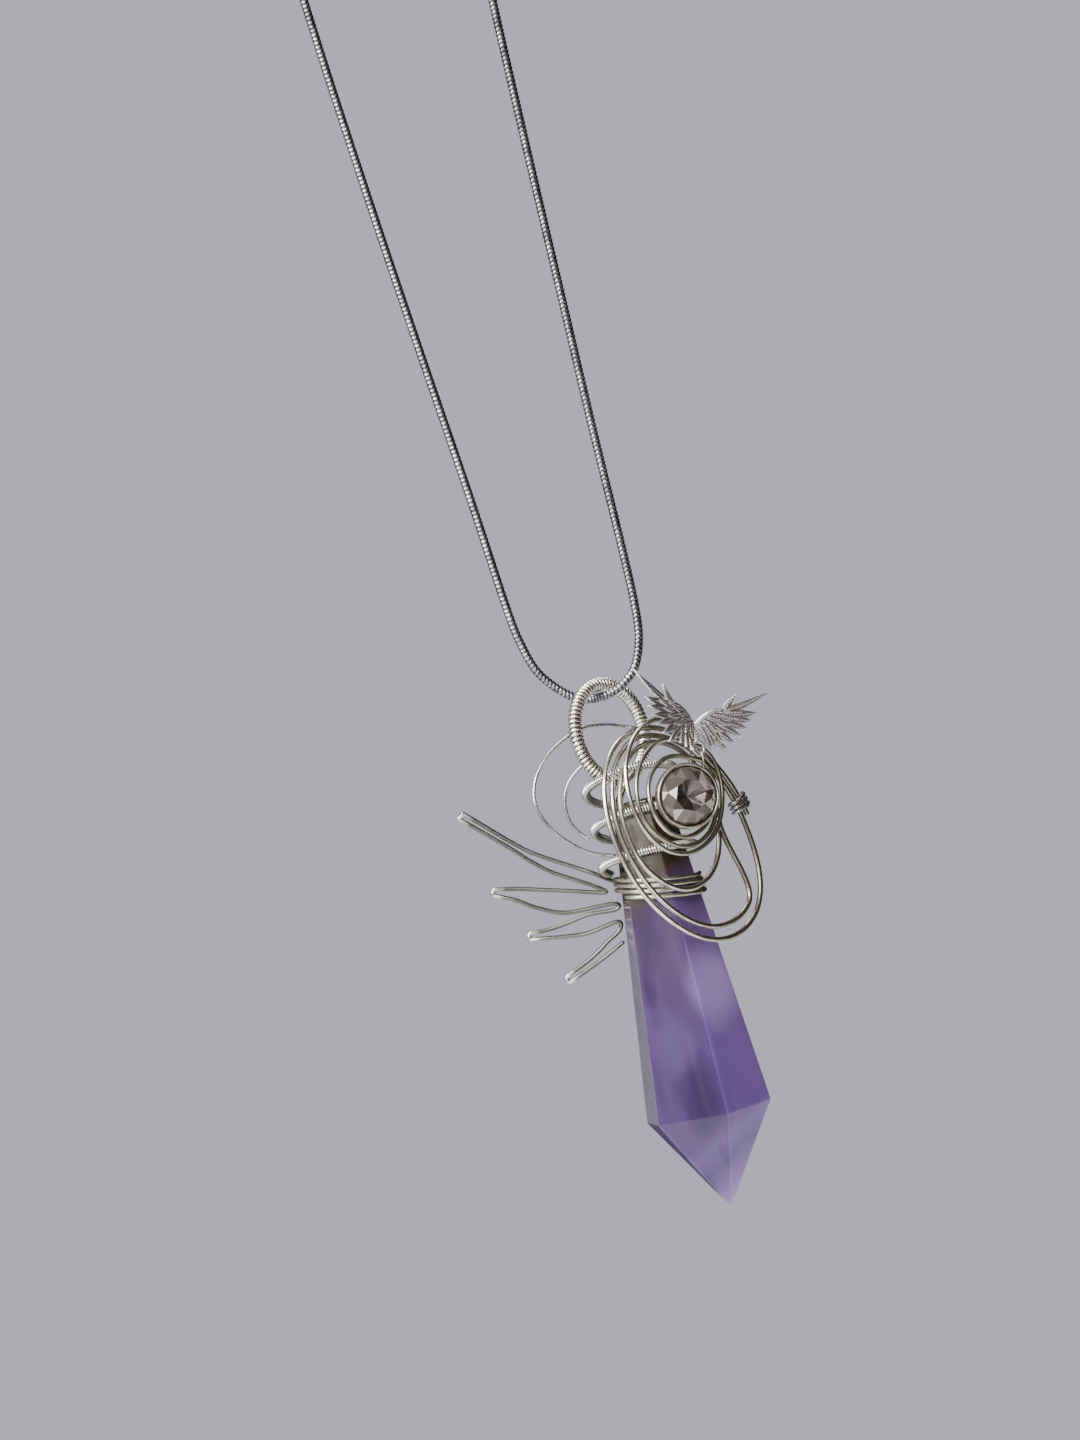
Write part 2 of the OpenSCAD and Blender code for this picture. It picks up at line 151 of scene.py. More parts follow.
def normals(path):
    """Two normals at each point of a path, carried along without twist."""
    t = unit(np.gradient(path, axis=0))
    n = np.zeros_like(t)
    v = np.array([0, 0, 1.0]) if abs(t[0][2]) < 0.9 else np.array([1.0, 0, 0])
    for i in range(len(t)):
        v = v - np.dot(v, t[i]) * t[i]
        v = v / np.linalg.norm(v)
        n[i] = v
    return n, np.cross(t, n)


def around(count):
    return np.linspace(0, 2 * math.pi, count, endpoint=False)


def tube(path, radii, sides, closed_ends=True):
    """Vertices and faces of a round tube."""
    path = np.asarray(path, float)
    radii = np.broadcast_to(np.asarray(radii, float), (len(path),))
    n, b = normals(path)
    a = around(sides)
    ring = np.cos(a)[None, :, None] * n[:, None, :] + np.sin(a)[None, :, None] * b[:, None, :]
    verts = (path[:, None, :] + radii[:, None, None] * ring).reshape(-1, 3)
    return verts, grid_faces(len(path), sides, closed_ends)


def grid_faces(rows, sides, closed_ends):
    """Faces of a tube whose vertices come in rows, with flat ends if asked."""
    i, k = np.meshgrid(np.arange(rows - 1), np.arange(sides), indexing="ij")
    j = (k + 1) % sides
    here, following = i * sides, (i + 1) * sides
    faces = np.stack([here + k, here + j, following + j, following + k], -1).reshape(-1, 4).tolist()
    if closed_ends:
        faces.append(list(range(sides))[::-1])
        faces.append([(rows - 1) * sides + k for k in range(sides)])
    return faces


def rounded(path, r, caps=3):
    """The path and its radii, with both ends closed by a small dome."""
    start, end = unit(path[0] - path[1]), unit(path[-1] - path[-2])
    steps = [math.pi / 2 * k / caps for k in range(1, caps + 1)]
    head = [path[0] + start * r * math.sin(a) for a in steps][::-1]
    tail = [path[-1] + end * r * math.sin(a) for a in steps]
    falls = [r * max(math.cos(a), 0.05) for a in steps]
    return np.vstack([head, path, tail]), np.concatenate([falls[::-1], np.full(len(path), r), falls])


def join(parts):
    """Several vertex and face lists as one."""
    verts, faces, base = [], [], 0
    for v, f in parts:
        verts.append(v)
        faces += [[base + k for k in face] for face in f]
        base += len(v)
    return np.vstack(verts), faces


def place(verts, yaw):
    """Turns points about the vertical, then moves them to the chain's lowest point."""
    c, s = math.cos(radians(yaw)), math.sin(radians(yaw))
    v = np.asarray(verts, float)
    return np.stack([v[:, 0] * c - v[:, 1] * s, v[:, 0] * s + v[:, 1] * c, v[:, 2] - CHAIN_DROP], 1)


def hung(verts):
    return place(verts, PENDANT_YAW)


def on_bail(verts):
    return place(verts, PENDANT_YAW + BAIL_TURN)


def low(verts):
    """Moves points from the hinge's height to their own, without a turn."""
    return np.asarray(verts, float) - [0, 0, CHAIN_DROP]


def turn(verts, axis, degrees):
    """Rotates points about x, y or z."""
    m = np.array(Matrix.Rotation(radians(degrees), 3, axis))
    return np.asarray(verts, float) @ m.T


def on_crystal(verts):
    return hung(turn(verts, "X", CRYSTAL_LEAN) + TIP_AT)


def piece(name, verts, faces, mats, body, replaced, flat=False, face_mats=None, shade=None):
    """Makes a mesh object from millimetre points, lets it ride on a body and replace CAD nodes."""
    mesh = bpy.data.meshes.new(name)
    mesh.from_pydata((np.asarray(verts) * MM).tolist(), [], faces)
    mesh.validate()
    mesh.polygons.foreach_set("use_smooth", [not flat] * len(mesh.polygons))
    for m in mats:
        mesh.materials.append(m)
    if face_mats is not None:
        mesh.polygons.foreach_set("material_index", face_mats)
    # The shade attribute carries the painted light and shade that the materials read
    by_face = shade is not None and len(shade) == len(mesh.polygons)
    layer = mesh.attributes.new("shade", "FLOAT", "FACE" if by_face else "POINT")
    values = np.ones(len(mesh.vertices)) if shade is None else shade
    layer.data.foreach_set("value", np.asarray(values, np.float32))
    mesh.update()
    obj = bpy.data.objects.new(name, mesh)
    bpy.context.scene.collection.objects.link(obj)
    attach(obj, body)
    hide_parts(*replaced)
    return obj


# ---------- materials ----------
class Nodes:
    """A material with a Principled shader and short calls for its nodes."""

    def __init__(self, name):
        self.mat = bpy.data.materials.new(name)
        self.mat.use_nodes = True
        self.tree = self.mat.node_tree
        self.bsdf = self.tree.nodes["Principled BSDF"]
        self.coords = self.add("ShaderNodeTexCoord").outputs["Object"]

    def add(self, kind, **values):
        node = self.tree.nodes.new(kind)
        for key, value in values.items():
            setattr(node, key, value)
        return node

    def link(self, a, b):
        self.tree.links.new(a, b)

    def set(self, **values):
        for key, value in values.items():
            self.bsdf.inputs[key.replace("_", " ")].default_value = value

    def mapped(self, scale):
        m = self.add("ShaderNodeMapping")
        m.inputs["Scale"].default_value = scale
        self.link(self.coords, m.inputs["Vector"])
        return m.outputs["Vector"]

    def noise(self, scale, detail=4, rough=0.5, vector=None):
        n = self.add("ShaderNodeTexNoise")
        n.inputs["Scale"].default_value = scale
        n.inputs["Detail"].default_value = detail
        n.inputs["Roughness"].default_value = rough
        self.link(vector or self.coords, n.inputs["Vector"])
        return n.outputs["Fac"]

    def ramp(self, fac, stops):
        r = self.add("ShaderNodeValToRGB")
        while len(r.color_ramp.elements) < len(stops):
            r.color_ramp.elements.new(0.5)
        for e, (at, color) in zip(r.color_ramp.elements, stops):
            e.position = at
            e.color = (*color, 1)
        self.link(fac, r.inputs["Fac"])
        return r.outputs["Color"]

    def between(self, fac, low_value, high_value):
        m = self.add("ShaderNodeMapRange")
        m.inputs["To Min"].default_value = low_value
        m.inputs["To Max"].default_value = high_value
        self.link(fac, m.inputs["Value"])
        return m.outputs["Result"]

    def mix(self, fac, a, b):
        """The colour a where fac is 0 and b where it is 1; both are colours or sockets."""
        m = self.add("ShaderNodeMix", data_type="RGBA")
        self.link(fac, m.inputs[0])
        for socket, value in ((m.inputs[6], a), (m.inputs[7], b)):
            if isinstance(value, tuple):
                socket.default_value = (*value, 1)
            else:
                self.link(value, socket)
        return m.outputs[2]

    def math(self, operation, a, b=0.0):
        m = self.add("ShaderNodeMath", operation=operation)
        for socket, value in ((m.inputs[0], a), (m.inputs[1], b)):
            if isinstance(value, (int, float)):
                socket.default_value = value
            else:
                self.link(value, socket)
        return m.outputs[0]

    def shade(self):
        """The mesh's painted light and shade: 0 deep in a groove or on a face painted dark, 1 where a highlight
        is painted on what stands up; in grooves it also stands for oxide.
        """
        return self.add("ShaderNodeAttribute", attribute_name="shade").outputs["Fac"]

    def cloud(self, points, at, size):
        """1 round a place in the object, in millimetres, falling softly to 0 at the given distance."""
        d = self.add("ShaderNodeVectorMath", operation="DISTANCE")
        self.link(points, d.inputs[0])
        d.inputs[1].default_value = at
        m = self.add("ShaderNodeMapRange", interpolation_type="SMOOTHSTEP")
        m.inputs["From Min"].default_value, m.inputs["From Max"].default_value = size, 0.25 * size
        self.link(d.outputs["Value"], m.inputs["Value"])
        return m.outputs["Result"]

    def bump(self, height, strength, distance):
        b = self.add("ShaderNodeBump")
        b.inputs["Strength"].default_value = strength
        b.inputs["Distance"].default_value = distance
        self.link(height, b.inputs["Height"])
        self.link(b.outputs["Normal"], self.bsdf.inputs["Normal"])


def silver(name, pale, dull, dark, rough, grain=3000.0, patch=500.0, bump=0.25, metal=1.0):
    """Worn silver: dull and bright patches, fine drawing marks, and the painted light and shade that the mesh
    carries: dark in the grooves (oxide and painted shade) and on sides painted into shade, bright where a
    highlight is painted.
    """
    extra_in_groove, mark_depth = 0.15, 0.00004
    m = Nodes(name)
    patches = m.noise(patch, 5, 0.6)
    lit = m.ramp(patches, [(0.32, dull), (0.60, pale)])
    painted_light_and_oxide = m.shade()
    # The dark colour is mixed in by the mesh's painted light and shade
    m.link(m.mix(painted_light_and_oxide, dark, lit), m.bsdf.inputs["Base Color"])
    m.link(m.math("ADD", m.between(patches, rough[1], rough[0]), m.between(painted_light_and_oxide, extra_in_groove, 0.0)),
           m.bsdf.inputs["Roughness"])
    m.set(Metallic=metal)
    m.bump(m.noise(grain, 3, 0.6), bump, mark_depth)
    return m.mat


# Name, bright, dull and groove colours, roughness of the bright and the dull patches; the groove colour stands
# for oxide and painted shade, in grooves and on sides painted into shade
wire_silver = silver("wire_silver", (1.0, 0.98, 0.90), (0.60, 0.56, 0.45), (0.17, 0.15, 0.09), (0.12, 0.28))
fine_silver = silver("fine_silver", (0.58, 0.57, 0.58), (0.24, 0.23, 0.23), (0.16, 0.15, 0.13), (0.16, 0.3))
fan_silver = silver("fan_silver", (1.0, 0.99, 0.96), (0.66, 0.65, 0.60), (0.06, 0.058, 0.045), (0.14, 0.28))
coil_silver = silver("coil_silver", (1.0, 0.98, 0.93), (0.60, 0.57, 0.46), (0.035, 0.033, 0.02), (0.16, 0.3),
                     patch=700.0)
neck_silver = silver("neck_silver", (1.0, 0.99, 0.96), (0.78, 0.76, 0.70), (0.13, 0.125, 0.11), (0.18, 0.32),
                     patch=700.0)
chain_silver = silver("chain_silver", (0.42, 0.40, 0.44), (0.13, 0.12, 0.14), (0.01, 0.009, 0.012), (0.16, 0.3),
                      patch=900.0)
clasp_silver = silver("clasp_silver", (0.84, 0.83, 0.80), (0.62, 0.60, 0.56), (0.06, 0.06, 0.05), (0.15, 0.32),
                      patch=600.0)
cup_silver = silver("cup_silver", (0.55, 0.53, 0.44), (0.22, 0.20, 0.15), (0.08, 0.07, 0.05), (0.22, 0.42),
                    patch=900.0)
wing_silver = silver("cast_silver", (1.0, 0.98, 0.95), (0.76, 0.72, 0.78), (0.055, 0.042, 0.045), (0.22, 0.38),
                     grain=4000.0, patch=1400.0, bump=0.4, metal=0.9)


# Places in the crystal where its colour changes: centre x and z, reach, colour, strength
COLOUR_CLOUDS = [
    ((-0.6, -34.5), 5.5, (0.14, 0.065, 0.20), 0.6), ((4.2, -39.5), 4.0, (0.38, 0.27, 0.58), 0.85),
    ((-6.6, -50.0), 5.0, (0.12, 0.068, 0.24), 0.8), ((-3.0, -30.0), 3.4, (0.05, 0.022, 0.10), 0.8),
    ((-4.5, -36.5), 2.4, (0.05, 0.02, 0.11), 0.7), ((-2.6, -45.0), 3.0, (0.17, 0.11, 0.36), 0.7),
    ((5.8, -51.0), 3.6, (0.15, 0.065, 0.30), 0.85), ((-0.8, -53.0), 3.8, (0.03, 0.003, 0.09), 0.9),
    ((-3.1, -65.4), 1.6, (0.06, 0.03, 0.15), 0.9), ((-0.2, -61.3), 0.9, (0.06, 0.035, 0.13), 0.6)]


def fluorite():
    """Violet fluorite: slanting growth zones, soft clouds of colour, fine fibres inside, polished faces."""
    m = Nodes("fluorite")
    # The share of the crystal's length, about 0 at the tip, taken along the slanting growth zones
    xyz = m.add("ShaderNodeSeparateXYZ")
    m.link(m.coords, xyz.inputs[0])
    tip = (TIP_AT[2] - CHAIN_DROP) * MM
    wobble = m.math("MULTIPLY", m.math("SUBTRACT", m.noise(160.0, 3, 0.6), 0.5), 0.003)
    slanted = m.math("SUBTRACT", xyz.outputs["Z"], m.math("MULTIPLY", xyz.outputs["X"], ZONE_SLANT))
    share = m.math("DIVIDE", m.math("ADD", m.math("SUBTRACT", slanted, tip), wobble), CRYSTAL_LEN * MM)
    zones = [(0.0, (0.46, 0.33, 0.68)), (0.07, (0.27, 0.16, 0.48)), (0.12, (0.13, 0.06, 0.30)),
             (0.165, (0.20, 0.11, 0.40)), (0.19, (0.12, 0.055, 0.26)), (0.35, (0.13, 0.065, 0.27)),
             (0.62, (0.12, 0.055, 0.21)), (1.0, (0.06, 0.025, 0.09))]
    color = m.ramp(share, zones)
    # The clouds lie in millimetres, run through the whole depth and are drawn out twofold in height
    tall, drift_size = 0.5, 3.0
    deep = m.mapped((1000.0, 0.0, 1000.0 * tall))
    warp = m.add("ShaderNodeVectorMath", operation="ADD")
    m.link(deep, warp.inputs[0])
    drift = m.add("ShaderNodeVectorMath", operation="SCALE")
    colors = m.add("ShaderNodeTexNoise")
    colors.inputs["Scale"].default_value = 140.0
    m.link(m.coords, colors.inputs["Vector"])
    m.link(colors.outputs["Color"], drift.inputs[0])
    drift.inputs["Scale"].default_value = drift_size
    m.link(drift.outputs["Vector"], warp.inputs[1])
    for (x, z), reach, tint, strength in COLOUR_CLOUDS:
        at = (x + drift_size / 2, drift_size / 2, tall * (z - CHAIN_DROP) + drift_size / 2)
        fac = m.math("MULTIPLY", m.cloud(warp.outputs[0], at, reach), strength)
        color = m.mix(fac, color, tint)
    fibres = m.noise(700.0, 3, 0.6, m.mapped((1.0, 1.0, 0.10)))
    color = m.mix(m.between(fibres, -0.14, 0.16), color, (0.33, 0.24, 0.56))
    # Each face carries painted light: under 1 it is painted darker, over 1 painted lighter, for the light
    # falling on it, and 0 is the clear one
    face_light = m.shade()
    color = m.mix(face_light, (0.012, 0.006, 0.03), color)
    color = m.mix(m.math("SUBTRACT", face_light, 1.0), color, (0.55, 0.40, 0.85))
    color = m.mix(m.math("LESS_THAN", face_light, 0.05), color, (0.13, 0.118, 0.175))
    # Painted shade: the crystal's top, in the loops' shadow, is painted dark brown
    painted_top_shade = m.mix(face_light, (0.03, 0.02, 0.012), (0.075, 0.05, 0.024))
    color = m.mix(m.ramp(share, [(0.75, (0, 0, 0)), (0.81, (1, 1, 1))]), color, painted_top_shade)
    m.link(color, m.bsdf.inputs["Base Color"])
    m.link(m.between(fibres, 0.05, 0.2), m.bsdf.inputs["Roughness"])
    m.set(IOR=1.434, Transmission_Weight=0.3, Coat_Weight=0.25, Coat_Roughness=0.05, Subsurface_Weight=0.6,
          Subsurface_Radius=(1.0, 0.8, 1.2), Subsurface_Scale=0.004)
    m.bump(m.noise(260.0, 3, 0.5, m.mapped((1.0, 1.0, 0.5))), 0.2, 0.0003)
    return m.mat


def cut_glass():
    """Clear glass for the table and the girdle of the stone."""
    m = Nodes("cut_glass")
    m.link(m.ramp(m.noise(600.0, 2), [(0.3, (0.97, 0.92, 0.94)), (0.7, (1.0, 0.98, 0.98))]),
           m.bsdf.inputs["Base Color"])
    m.link(m.between(m.noise(3000.0, 3), 0.0, 0.04), m.bsdf.inputs["Roughness"])
    m.set(IOR=1.56, Transmission_Weight=1.0)
    return m.mat


def foil():
    """The mirror behind the stone, with painted flashes: some facets carry a painted reflection and the others
    painted shade.
    """
    m = Nodes("stone_foil")
    flash = m.ramp(m.noise(500.0, 3), [(0.3, (0.58, 0.48, 0.47)), (0.7, (0.66, 0.59, 0.58))])
    m.link(m.mix(m.shade(), (0.09, 0.072, 0.062), flash), m.bsdf.inputs["Base Color"])
    m.link(m.between(m.noise(1500.0, 3), 0.1, 0.25), m.bsdf.inputs["Roughness"])
    m.set(Metallic=0.5, Coat_Weight=0.45, Coat_Roughness=0.03)
    return m.mat


crystal_mat, glass_mat, foil_mat = fluorite(), cut_glass(), foil()


# ---------- snake chain ----------
def chain_path(count):
    route = np.array(CHAIN_ROUTE, float) - [0, 0, CHAIN_DROP]
    return smooth(route, count)


def make_chain():
    pitch, steps, sides, slack, waist = 0.56, 8, 14, 0.015, 0.78
    links = int(round(length_of(chain_path(2000)) / pitch))
    # Places along a link, from 0 to 1, and the share of the full radius there
    profile = [(0.0, waist), (0.2, 0.95), (0.5, 1.0), (0.8, 0.95)]
    path = chain_path(links * steps + 1)
    n, b = normals(path)
    share = np.array([k + u for k in range(links) for u, _ in profile] + [float(links)]) * steps
    radii = np.array([f for _ in range(links) for _, f in profile] + [0.8]) * (CHAIN_D / 2 - slack)
    a = around(sides)
    # Each link is a bent plate: its rim waves twice round the chain, by 0.26 of a link
    wave = steps * 0.26 * np.cos(2 * a)
    at = np.clip(share[:, None] + wave[None, :], 0, len(path) - 1)
    i = np.minimum(at.astype(int), len(path) - 2)
    f = (at - i)[..., None]
    centre = path[i] * (1 - f) + path[i + 1] * f
    ring = np.cos(a)[None, :, None] * n[i] + np.sin(a)[None, :, None] * b[i]
    verts = (centre + radii[:, None, None] * ring).reshape(-1, 3)
    # Painted shade, partly oxide: each link is dark where it narrows and bright on its rim
    shade = np.repeat((radii / radii.max() - waist) / (1 - waist), sides) ** 1.5
    piece("snake_chain", verts, grid_faces(len(share), sides, True), [chain_silver], "necklace", ["chain"],
          shade=shade)


def make_clasp():
    ends = np.array([CHAIN_ROUTE[0], CHAIN_ROUTE[-1]], float) - [0, 0, CHAIN_DROP]
    axis, middle = unit(ends[1] - ends[0]), ends.mean(0)
    half, r, hole_r = CLASP_LEN / 2, CLASP_D / 2, 0.8
    # Distance from the middle and radius, from the bottom of one blind hole out and over to the other
    outline = [(-half + 1.0, hole_r), (-half, hole_r), (-half, 1.0), (-half + 0.12, 1.14), (-half + 0.5, 1.2),
               (-half + 0.95, 1.2), (-half + 1.1, r - 0.18), (-half + 1.25, r - 0.04), (-half + 1.5, r)]
    for z in (-1.9, -1.5, 0.0, 1.5, 1.9):
        outline += [(z - 0.14, r), (z - 0.07, r - 0.1), (z + 0.07, r - 0.1), (z + 0.14, r)]
    outline += [(-z, q) for z, q in outline[8::-1]]
    sides = 72
    a = around(sides)[:, None]
    side = unit(np.cross(axis, [0, 1.0, 0]))
    ring = np.cos(a) * side + np.sin(a) * np.cross(axis, side)
    rows = [middle + axis * z + q * ring for z, q in outline]
    piece("barrel_clasp", np.vstack(rows), grid_faces(len(rows), sides, True), [clasp_silver], "necklace",
          ["clasp"])


# ---------- wires ----------
def wound_coil(path, core_r, wire_r, pitch, steps, sides):
    """A wire wound in close turns along a path: vertices, faces, and for each vertex its painted groove shade
    (oxide and painted shade), from 0 in the grooves, and the path's point beside it."""
    caps = 2
    total = length_of(path)
    count = int(total / pitch * steps)
    line = resample(path, count)
    n, b = normals(line)
    a = np.linspace(0, 2 * math.pi * total / pitch, count)
    r = core_r + wire_r
    helix = line + r * (np.cos(a)[:, None] * n + np.sin(a)[:, None] * b)
    verts, faces = tube(*rounded(helix, wire_r, caps), sides)
    centre = np.repeat(np.vstack([line[:1]] * caps + [line] + [line[-1:]] * caps), sides, axis=0)
    away = np.linalg.norm(verts - centre, axis=1)
    groove_shade = np.clip((away - core_r - 0.6 * wire_r) / (1.3 * wire_r), 0, 1) ** 1.5
    return verts, faces, groove_shade, centre


def wavy(path, size, seed):
    """Small hand bent waves along a wire."""
    s = np.linspace(0, 1, len(path))[:, None]
    w = np.zeros_like(path)
    for k, f in enumerate((7, 13, 23)):
        phase = np.array([seed + k, 2.1 * seed + k, 3.7 * seed - k])[None, :]
        w += np.sin(2 * math.pi * f * s + phase) / (1 + k)
    return path + size * w * np.minimum(1, 12 * np.minimum(s, 1 - s))


def plain_wire(path, d, sides=12):
    return tube(*rounded(path, d / 2), sides)


def drawn(verts, sides=12):
    """How bright a plain wire is, with three faint draw lines that wander along it."""
    turned = np.tile(around(sides), len(verts) // sides)
    along = np.repeat(np.arange(len(verts) // sides), sides)
    return 0.72 + 0.28 * np.cos(3 * turned + 0.6 * np.sin(0.05 * along))


def side_shaded(verts):
    """How bright the front wires are: faint draw lines, under painted light that is bright at the left and
    falls into painted shade at the right.
    """
    return drawn(verts) * (1 - 0.78 * np.clip(verts[:, 0] / 9, 0, 1))


def make_bail():
    wire_r, pitch, opening = 0.25, 0.55, 24
    middle = -(BAIL_R - BAIL_D / 2 - CHAIN_D / 2 - GAP / 2)
    angles = np.radians(np.arange(-90 + opening, 270 - opening + 0.1, 3))
    ring = np.stack([BAIL_R * np.cos(angles), 0 * angles, middle + BAIL_R * np.sin(angles)], 1)
    right = np.array([[0.5, 4.0, -25], [0.5, 3.45, -20], [0.5, 2.9, -15.5], [0.55, 1.6, -13.2],
                      [0.9, 0.3, -11.6]])
    left = right[::-1] * [-1, 1, 1]
    core = smooth(np.vstack([right, ring[::4], left]), 300)
    coil, coil_faces, groove_shade, _ = wound_coil(ring, BAIL_D / 2 - 0.52, wire_r, pitch, steps=16, sides=8)
    verts, faces = join([(coil, coil_faces), plain_wire(core, CORE_D * 0.93)])
    shade = np.concatenate([groove_shade, np.full(len(verts) - len(coil), 0.7)])
    piece("bail_coil", on_bail(verts), faces, [coil_silver], "pendant", ["bail"], shade=shade)


def crystal_height(z):
    """The height along the crystal, from its tip, of a level given from the hinge."""
    return (z - TIP_AT[2]) / math.cos(radians(CRYSTAL_LEAN))


def crystal_radius(h):
    """The crystal's radius over the corners, at a height over the girdle's."""
    return CRYSTAL_R + (CRYSTAL_TOP_R - CRYSTAL_R) * (h - GIRDLE_H) / (CRYSTAL_LEN - GIRDLE_H)


def wound(r, direction, z):
    """A point of a slanting winding round the crystal, in the crystal's own frame."""
    d = radians(direction)
    fall = SLANT * r * (1 - math.cos(d - radians(LEFT)))
    return [r * math.cos(d), r * math.sin(d), crystal_height(z) - fall]


def over_core(direction):
    """1 where a winding passes over the bail's core wires, behind the crystal, falling to 0 beside them."""
    return max(0, math.cos(radians(direction - 90 - BAIL_TURN))) ** 10


def make_neck_coil():
    all_turns, wire_r, pitch, core_d = 2.6, 0.15, 0.34, 0.6
    path = []
    # The loose turns stand off at the left, fall steeply there, and step over the bail's core wires behind
    for a in np.arange(0, all_turns * 360 + 0.1, 5):
        d, turns = LEFT - 180 - a, a / 360
        aside = max(0, math.cos(radians(d - LEFT))) ** 2
        r = 5.1 + 0.23 * turns * (1 - aside) + 1.6 * aside + 0.9 * over_core(d)
        path.append(wound(r, d, -9.4 - 5 * (turns - (0.42 - 0.08 * turns) * math.sin(radians(a)))))
    path = np.array(path)
    coil, coil_faces, groove_shade, centre = wound_coil(path, COIL_D / 2 - 0.31, wire_r, pitch, steps=12, sides=6)
    # Painted light: the outer side carries a painted highlight and the side towards the crystal painted shade;
    # the core wire seen between the turns is painted dark as shade
    outward = np.hypot(*coil[:, :2].T) - np.hypot(*centre[:, :2].T)
    worn_and_lit = 0.1 + 0.9 * np.clip((outward - 0.1) / 0.4, 0, 1)
    verts, faces = join([(coil, coil_faces), plain_wire(path, core_d, 8)])
    shade = np.concatenate([groove_shade * worn_and_lit, np.full(len(verts) - len(coil), 0.05)])
    piece("neck_coil_wire", on_crystal(verts), faces, [neck_silver], "pendant", ["neck_coil"],
          shade=shade)


def make_neck_wraps():
    turns, top, pitch = 3.4, -23.3, 0.72
    path = []
    for a in np.arange(0, turns * 360 + 0.1, 6):
        d, z = LEFT - 180 - a, top - pitch * a / 360
        r = crystal_radius(wound(CRYSTAL_TOP_R, d, z)[2] - SLANT) + WRAP_D / 2 + GAP + 1.1 * over_core(d)
        path.append(wound(r, d, z))
    verts, faces = plain_wire(on_crystal(path), WRAP_D)
    # The binding wire carries painted shade that deepens towards the right
    piece("binding_wire", verts, faces, [wire_silver], "pendant", ["neck_wraps"],
          shade=0.8 * side_shaded(verts))


def turn_shape(turns, a):
    """The row of the turn that the angle falls in, blended into the next one over its last 60 degrees."""
    turns = np.array(turns, float)
    k = min(int(a // 360), len(turns) - 2)
    t = max(0.0, (a - 360 * k - 300) / 60)
    return turns[k] + (turns[k + 1] - turns[k]) * t * t * (3 - 2 * t)


def spiral_point(turns, start, a, depth):
    """A point of the front loops, in the pendant's own frame, at an angle from the loop's start."""
    s = turn_shape(turns, a)
    x, z = s[2] * math.cos(radians(start + a)), s[3] * math.sin(radians(start + a))
    c, q = math.cos(radians(s[4])), math.sin(radians(s[4]))
    return np.array([s[0] + x * c - z * q, -depth, s[1] + x * q + z * c])


def spiral(turns, start, sweep, step, depth):
    return np.array([spiral_point(turns, start, a, depth) for a in np.arange(0, sweep + 0.1, step)])


def make_loops():
    outer = wavy(spiral(OUTER_TURNS, OUTER_START, OUTER_SWEEP, 3, OUTER_DEPTH), 0.05, 1.3)
    # Both loops carry painted shade that deepens towards the right
    verts, faces = plain_wire(hung(outer), WIRE_D)
    piece("outer_loop_wire", verts, faces, [wire_silver], "pendant", ["outer_loops"],
          shade=side_shaded(verts))
    inner = wavy(spiral(INNER_TURNS, INNER_START, INNER_SWEEP, 3, INNER_DEPTH), 0.04, 2.9)
    verts, faces = plain_wire(hung(inner), WIRE_D * 0.9)
    piece("inner_loop_wire", verts, faces, [wire_silver], "pendant", ["inner_loops"],
          shade=side_shaded(verts))


def make_tie():
    """Fine wire bound round the first two turns of the outer loop where they run side by side."""
    turns, room = 3, (WIRE_D + FINE_D) / 2 + 1.3 * GAP
    path = []
    for k in np.arange(0, 360 * turns + 0.1, 10):
        a = 1.5 + 7.5 * k / (360 * turns)
        p, q, ahead = (spiral_point(OUTER_TURNS, OUTER_START, b, OUTER_DEPTH) for b in (a, a + 360, a + 1))
        across = np.cross([0, 1, 0], unit(ahead - p))
        c = math.cos(radians(k))
        reach = np.dot(p - q, across) / 2 * min(1, max(-1, 1.6 * c)) + room * c
        path.append((p + q) / 2 + reach * across + [0, room * math.sin(radians(k)), 0])
    verts, faces = plain_wire(resample(np.array(path), 200), FINE_D, 10)
    piece("loop_tie_wire", hung(verts), faces, [fine_silver], "pendant", ["loop_tie"])


def make_hoops():
    outer = [[3.3, 5.9, -5.1], [0.4, 4.5, -3.9], [-2.9, 3.0, -3.3], [-6.0, 2.0, -4.1], [-9.0, 1.2, -5.8],
             [-11.1, 0.7, -8.4], [-11.8, 0.4, -11.4], [-10.8, 0.4, -14.6], [-8.6, 0.5, -17.5],
             [-6.2, 0.6, -19.4], [-3.7, 0.8, -20.3]]
    inner = [[-3.9, -2.4, -7.7], [-5.6, -1.9, -8.5], [-7.2, -1.4, -10.0], [-8.1, -1.1, -12.2],
             [-8.1, -1.0, -14.4], [-7.3, -1.0, -16.2], [-6.4, -1.1, -17.3]]
    for name, points, node in (("outer_hoop_wire", outer, "hoop_outer"),
                               ("inner_hoop_wire", inner, "hoop_inner")):
        verts, faces = plain_wire(smooth(points, 120), FINE_D, 10)
        piece(name, low(verts), faces, [fine_silver], "pendant", [node])


def bend(before, tip, after):
    """The half circle in which a hairpin turns round at its tip."""
    before, tip, after = np.array(before), np.array(tip), np.array(after)
    out = unit(tip - (before + after) / 2)
    side = before - after
    up = unit(side - np.dot(side, out) * out)
    return [tip + BEND_R * ((math.cos(a) - 1) * out + math.sin(a) * up)
            for a in np.radians([90, 45, 0, -45, -90])]


